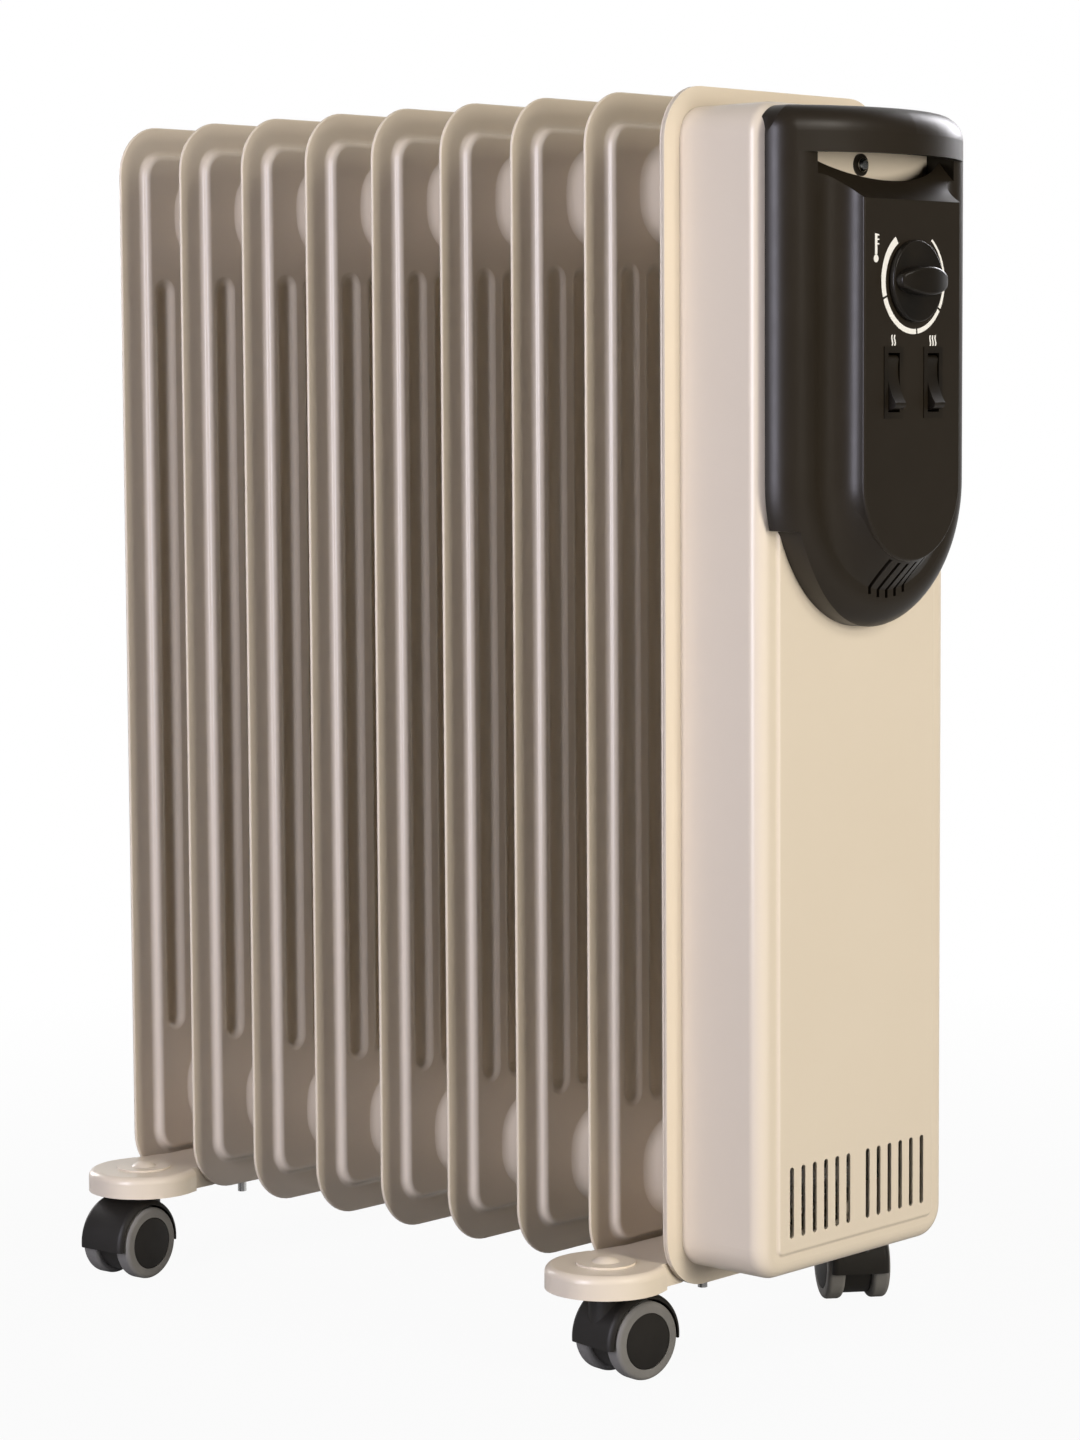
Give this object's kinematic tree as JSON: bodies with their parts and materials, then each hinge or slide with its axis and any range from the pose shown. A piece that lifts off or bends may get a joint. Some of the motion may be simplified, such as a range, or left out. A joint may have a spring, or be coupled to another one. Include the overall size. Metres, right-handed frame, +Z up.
{
  "type": "oil-filled radiator",
  "caption": "Free-standing electric oil-filled radiator: a stack of pressed steel fins on swivel casters, with a sheet-metal end cover and a moulded control console.",
  "frame": {"origin": "on the floor, under the centre of the bounding box", "axes": "+X along the fin stack to the control end, +Y across the fins, +Z up"},
  "size_m": [0.5094, 0.2822, 0.645],
  "materials": {
    "cream_paint": "satin cream powder coat",
    "console_plastic": "fine satin brown-black moulding",
    "control_plastic": "satin black moulding",
    "inner_plastic": "plain moulding inside the cover",
    "caster_plastic": "satin black nylon",
    "tyre_grey": "matt grey rubber",
    "plated_steel": "zinc plated",
    "dark_steel": "blackened steel",
    "element_sheath": "bare steel sheath",
    "seal_rubber": "black seal"
  },
  "bodies": {
    "radiator": {"fin_1": "cream_paint", "fin_2": "cream_paint", "fin_3": "cream_paint", "fin_4": "cream_paint", "fin_5": "cream_paint", "fin_6": "cream_paint", "fin_7": "cream_paint", "fin_8": "cream_paint", "fin_9": "cream_paint", "end_cover": "cream_paint", "console": "console_plastic", "cover_stud": "dark_steel", "cover_washer": "control_plastic", "cover_screw": "plated_steel", "console_screws": "plated_steel", "thermostat_body": "inner_plastic", "switch_body_left": "control_plastic", "switch_body_right": "control_plastic", "heating_elements": "element_sheath", "heater_flange": "plated_steel", "heater_gasket": "seal_rubber", "thermal_cutout": "plated_steel", "terminal_block": "control_plastic", "cord_gland": "control_plastic", "front_foot": "cream_paint", "rear_foot": "cream_paint", "foot_u_bolts": "plated_steel", "wing_nuts": "plated_steel"},
    "thermostat_knob": {"knob": "control_plastic", "thermostat_shaft": "plated_steel"},
    "rocker_left": {"rocker_left": "control_plastic"},
    "rocker_right": {"rocker_right": "control_plastic"},
    "caster_front_left_swivel": {"caster_front_left_hood": "caster_plastic", "caster_front_left_stem": "plated_steel", "caster_front_left_axle": "plated_steel"},
    "caster_front_left_wheel_1": {"caster_front_left_hub_1": "caster_plastic", "caster_front_left_tyre_1": "tyre_grey"},
    "caster_front_left_wheel_2": {"caster_front_left_hub_2": "caster_plastic", "caster_front_left_tyre_2": "tyre_grey"},
    "caster_front_right_swivel": {"caster_front_right_hood": "caster_plastic", "caster_front_right_stem": "plated_steel", "caster_front_right_axle": "plated_steel"},
    "caster_front_right_wheel_1": {"caster_front_right_hub_1": "caster_plastic", "caster_front_right_tyre_1": "tyre_grey"},
    "caster_front_right_wheel_2": {"caster_front_right_hub_2": "caster_plastic", "caster_front_right_tyre_2": "tyre_grey"},
    "caster_rear_left_swivel": {"caster_rear_left_hood": "caster_plastic", "caster_rear_left_stem": "plated_steel", "caster_rear_left_axle": "plated_steel"},
    "caster_rear_left_wheel_1": {"caster_rear_left_hub_1": "caster_plastic", "caster_rear_left_tyre_1": "tyre_grey"},
    "caster_rear_left_wheel_2": {"caster_rear_left_hub_2": "caster_plastic", "caster_rear_left_tyre_2": "tyre_grey"},
    "caster_rear_right_swivel": {"caster_rear_right_hood": "caster_plastic", "caster_rear_right_stem": "plated_steel", "caster_rear_right_axle": "plated_steel"},
    "caster_rear_right_wheel_1": {"caster_rear_right_hub_1": "caster_plastic", "caster_rear_right_tyre_1": "tyre_grey"},
    "caster_rear_right_wheel_2": {"caster_rear_right_hub_2": "caster_plastic", "caster_rear_right_tyre_2": "tyre_grey"}
  },
  "joints": [
    {"name": "thermostat_turn", "type": "hinge", "parent": "radiator", "child": "thermostat_knob", "pos_m": [0.2431, 0, 0.5485], "axis": [-1, 0, 0], "range_deg": [-50, 235]},
    {"name": "rocker_left_press", "type": "hinge", "parent": "radiator", "child": "rocker_left", "pos_m": [0.2416, -0.016, 0.499], "axis": [0, 1, 0], "range_deg": [0, 24]},
    {"name": "rocker_right_press", "type": "hinge", "parent": "radiator", "child": "rocker_right", "pos_m": [0.2416, 0.016, 0.499], "axis": [0, 1, 0], "range_deg": [0, 24]},
    {"name": "caster_front_left_turn", "type": "hinge", "parent": "radiator", "child": "caster_front_left_swivel", "pos_m": [0.1299, -0.103, 0.05], "axis": [0, 0, 1], "continuous": true},
    {"name": "caster_front_left_roll_1", "type": "hinge", "parent": "caster_front_left_swivel", "child": "caster_front_left_wheel_1", "pos_m": [0.11884, -0.08832, 0.02], "axis": [-0.9903, 0.1392, 0], "continuous": true},
    {"name": "caster_front_left_roll_2", "type": "hinge", "parent": "caster_front_left_swivel", "child": "caster_front_left_wheel_2", "pos_m": [0.14458, -0.09194, 0.02], "axis": [-0.9903, 0.1392, 0], "continuous": true},
    {"name": "caster_front_right_turn", "type": "hinge", "parent": "radiator", "child": "caster_front_right_swivel", "pos_m": [0.1299, 0.103, 0.05], "axis": [0, 0, 1], "continuous": true},
    {"name": "caster_front_right_roll_1", "type": "hinge", "parent": "caster_front_right_swivel", "child": "caster_front_right_wheel_1", "pos_m": [0.11162, 0.10108, 0.02], "axis": [-0.6293, -0.7771, 0], "continuous": true},
    {"name": "caster_front_right_roll_2", "type": "hinge", "parent": "caster_front_right_swivel", "child": "caster_front_right_wheel_2", "pos_m": [0.12798, 0.12128, 0.02], "axis": [-0.6293, -0.7771, 0], "continuous": true},
    {"name": "caster_rear_left_turn", "type": "hinge", "parent": "radiator", "child": "caster_rear_left_swivel", "pos_m": [-0.2201, -0.103, 0.05], "axis": [0, 0, 1], "continuous": true},
    {"name": "caster_rear_left_roll_1", "type": "hinge", "parent": "caster_rear_left_swivel", "child": "caster_rear_left_wheel_1", "pos_m": [-0.20581, -0.11457, 0.02], "axis": [0.9945, 0.1045, 0], "continuous": true},
    {"name": "caster_rear_left_roll_2", "type": "hinge", "parent": "caster_rear_left_swivel", "child": "caster_rear_left_wheel_2", "pos_m": [-0.23167, -0.11729, 0.02], "axis": [0.9945, 0.1045, 0], "continuous": true},
    {"name": "caster_rear_right_turn", "type": "hinge", "parent": "radiator", "child": "caster_rear_right_swivel", "pos_m": [-0.2201, 0.103, 0.05], "axis": [0, 0, 1], "continuous": true},
    {"name": "caster_rear_right_roll_1", "type": "hinge", "parent": "caster_rear_right_swivel", "child": "caster_rear_right_wheel_1", "pos_m": [-0.23167, 0.11729, 0.02], "axis": [-0.9945, 0.1045, 0], "continuous": true},
    {"name": "caster_rear_right_roll_2", "type": "hinge", "parent": "caster_rear_right_swivel", "child": "caster_rear_right_wheel_2", "pos_m": [-0.20581, 0.11457, 0.02], "axis": [-0.9945, 0.1045, 0], "continuous": true}
  ]
}
